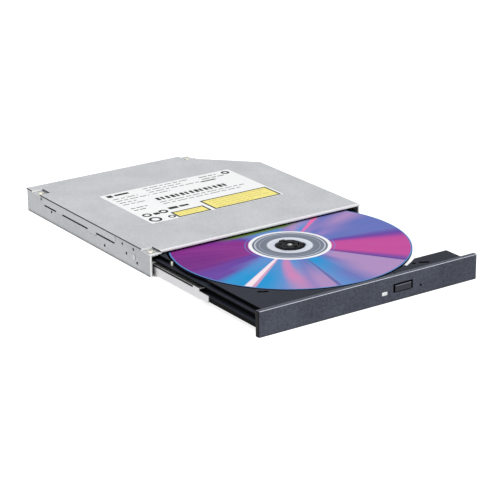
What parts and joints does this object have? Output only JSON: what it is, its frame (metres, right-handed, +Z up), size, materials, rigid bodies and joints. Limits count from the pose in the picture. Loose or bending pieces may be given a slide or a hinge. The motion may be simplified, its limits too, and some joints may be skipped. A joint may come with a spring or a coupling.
{
  "type": "slim disc drive",
  "caption": "Slim tray-loading optical disc drive: flat steel case with one chamfered rear corner, and a tray on side rails with spindle, disc, bezel, eject button and pickup.",
  "frame": {"origin": "middle of the case's bottom face", "axes": "+X to the right seen from the bezel, +Y from the bezel to the rear, +Z up"},
  "size_m": [0.1283, 0.2189, 0.0128],
  "materials": {
    "actuator_magnets": "nickel plated",
    "board_parts": "moulded chips",
    "board_screws": "zinc plated",
    "bottom_case": "galvanised steel",
    "bottom_shield": "galvanised steel",
    "connector_contacts": "gold plated",
    "cover_screws": "zinc plated",
    "damper_grommets": "rubber",
    "detector_board": "flex circuit",
    "disc": "coated polycarbonate",
    "eject_button": "fine texture",
    "ejector_pin": "moulded",
    "ejector_spring": "spring wire",
    "emergency_slider": "moulded",
    "front_bezel": "fine texture",
    "front_board_parts": "moulded",
    "guide_rods": "ground steel",
    "hub": "moulded",
    "hub_claw_1": "moulded",
    "hub_claw_2": "moulded",
    "hub_claw_3": "moulded",
    "laser_diodes": "gold plated can",
    "latch_lever": "moulded",
    "latch_magnet": "wound coil",
    "latch_post": "turned steel",
    "latch_spring": "spring wire",
    "lead_screw": "rolled steel",
    "lens_holder": "moulded",
    "light_pipe": "clear moulding",
    "main_board": "solder mask",
    "main_flex": "polyimide film",
    "objective_lens": "coated glass",
    "pickup_body": "die cast",
    "pickup_cover": "steel",
    "pickup_flex": "polyimide film",
    "rack_nut": "moulded",
    "rail_guide_left": "acetal",
    "rail_guide_right": "acetal",
    "rating_label": "printed film",
    "rear_connector": "moulded",
    "sled_motor": "steel",
    "slide_rail_left": "folded steel",
    "slide_rail_right": "folded steel",
    "spindle_base": "steel",
    "spindle_bearing": "sintered bronze",
    "spindle_rotor": "drawn steel",
    "spindle_shaft": "ground steel",
    "stator_coils": "enamelled copper",
    "stator_core": "laminated steel",
    "suspension_wires": "bronze wire",
    "top_cover": "galvanised steel",
    "traverse_base": "pressed steel",
    "tray": "moulded",
    "tray_board": "solder mask",
    "tray_flex": "polyimide film",
    "tray_flex_socket": "moulded",
    "tray_screws": "black zinc",
    "turntable": "moulded",
    "turntable_pad": "rubber",
    "window_plate": "black"
  },
  "bodies": {
    "case": {"bottom_case": "bottom_case", "top_cover": "top_cover", "cover_screws": "cover_screws", "rating_label": "rating_label", "latch_post": "latch_post", "main_board": "main_board", "board_screws": "board_screws", "board_parts": "board_parts", "rear_connector": "rear_connector", "connector_contacts": "connector_contacts", "ejector_pin": "ejector_pin", "ejector_spring": "ejector_spring", "main_flex": "main_flex", "rail_guide_left": "rail_guide_left", "rail_guide_right": "rail_guide_right"},
    "tray_unit": {"tray": "tray", "front_bezel": "front_bezel", "light_pipe": "light_pipe", "tray_board": "tray_board", "front_board_parts": "front_board_parts", "tray_flex_socket": "tray_flex_socket", "tray_flex": "tray_flex", "bottom_shield": "bottom_shield", "tray_screws": "tray_screws", "window_plate": "window_plate", "latch_spring": "latch_spring", "latch_magnet": "latch_magnet", "traverse_base": "traverse_base", "guide_rods": "guide_rods", "damper_grommets": "damper_grommets", "sled_motor": "sled_motor", "spindle_base": "spindle_base", "stator_core": "stator_core", "stator_coils": "stator_coils", "spindle_bearing": "spindle_bearing", "pickup_flex": "pickup_flex"},
    "rail_left": {"slide_rail_left": "slide_rail_left"},
    "rail_right": {"slide_rail_right": "slide_rail_right"},
    "button": {"eject_button": "eject_button"},
    "latch": {"latch_lever": "latch_lever"},
    "slider": {"emergency_slider": "emergency_slider"},
    "screw": {"lead_screw": "lead_screw"},
    "pickup": {"pickup_body": "pickup_body", "pickup_cover": "pickup_cover", "laser_diodes": "laser_diodes", "detector_board": "detector_board", "rack_nut": "rack_nut", "actuator_magnets": "actuator_magnets", "suspension_wires": "suspension_wires"},
    "lens": {"lens_holder": "lens_holder", "objective_lens": "objective_lens"},
    "spindle": {"spindle_shaft": "spindle_shaft", "spindle_rotor": "spindle_rotor", "turntable": "turntable", "turntable_pad": "turntable_pad", "hub": "hub", "disc": "disc"},
    "claw_1": {"hub_claw_1": "hub_claw_1"},
    "claw_2": {"hub_claw_2": "hub_claw_2"},
    "claw_3": {"hub_claw_3": "hub_claw_3"}
  },
  "joints": [
    {"name": "tray_slide", "type": "slide", "parent": "case", "child": "tray_unit", "axis": [0, -1, 0], "range_m": [-0.0897, 0.0373], "deforming": ["main_flex", "ejector_spring"]},
    {"name": "rail_left_slide", "type": "slide", "parent": "case", "child": "rail_left", "axis": [0, -1, 0], "range_m": [-0.0487, 0.0203]},
    {"name": "rail_right_slide", "type": "slide", "parent": "case", "child": "rail_right", "axis": [0, -1, 0], "range_m": [-0.0487, 0.0203]},
    {"name": "eject_press", "type": "slide", "parent": "tray_unit", "child": "button", "axis": [0, 1, 0], "range_m": [0, 0.0008], "stiffness_N_per_m": 200},
    {"name": "latch_turn", "type": "hinge", "parent": "tray_unit", "child": "latch", "pos_m": [0.0408, -0.14885, 0], "axis": [0, 0, -1], "range_deg": [-18, 0], "deforming": ["latch_spring"]},
    {"name": "emergency_press", "type": "slide", "parent": "tray_unit", "child": "slider", "axis": [0, 1, 0], "range_m": [0, 0.0033], "stiffness_N_per_m": 60},
    {"name": "pickup_travel", "type": "slide", "parent": "tray_unit", "child": "pickup", "axis": [-0.7071, -0.7071, 0], "range_m": [-0.0175, 0.0175], "deforming": ["pickup_flex"]},
    {"name": "screw_spin", "type": "hinge", "parent": "tray_unit", "child": "screw", "pos_m": [-0.01051, -0.07734, 0.0052], "axis": [-0.7071, -0.7071, 0], "range_deg": [-2105, 2105]},
    {"name": "lens_focus", "type": "slide", "parent": "pickup", "child": "lens", "axis": [0, 0, 1], "range_m": [-0.0005, 0.0005], "stiffness_N_per_m": 60, "deforming": ["suspension_wires"]},
    {"name": "spindle_spin", "type": "hinge", "parent": "tray_unit", "child": "spindle", "pos_m": [0.0008, -0.08865, 0.005], "axis": [0, 0, 1], "continuous": true},
    {"name": "claw_1_press", "type": "slide", "parent": "spindle", "child": "claw_1", "axis": [0, 1, 0], "range_m": [-0.0006, 0], "stiffness_N_per_m": 400},
    {"name": "claw_2_press", "type": "slide", "parent": "spindle", "child": "claw_2", "axis": [-0.866, -0.5, 0], "range_m": [-0.0006, 0], "stiffness_N_per_m": 400},
    {"name": "claw_3_press", "type": "slide", "parent": "spindle", "child": "claw_3", "axis": [0.866, -0.5, 0], "range_m": [-0.0006, 0], "stiffness_N_per_m": 400}
  ],
  "couplings": [
    {"joint": "rail_left_slide", "follows": "tray_slide", "ratio": 0.54181},
    {"joint": "rail_right_slide", "follows": "tray_slide", "ratio": 0.54181},
    {"joint": "screw_spin", "follows": "pickup_travel", "rad_per_m": -2094.4}
  ]
}
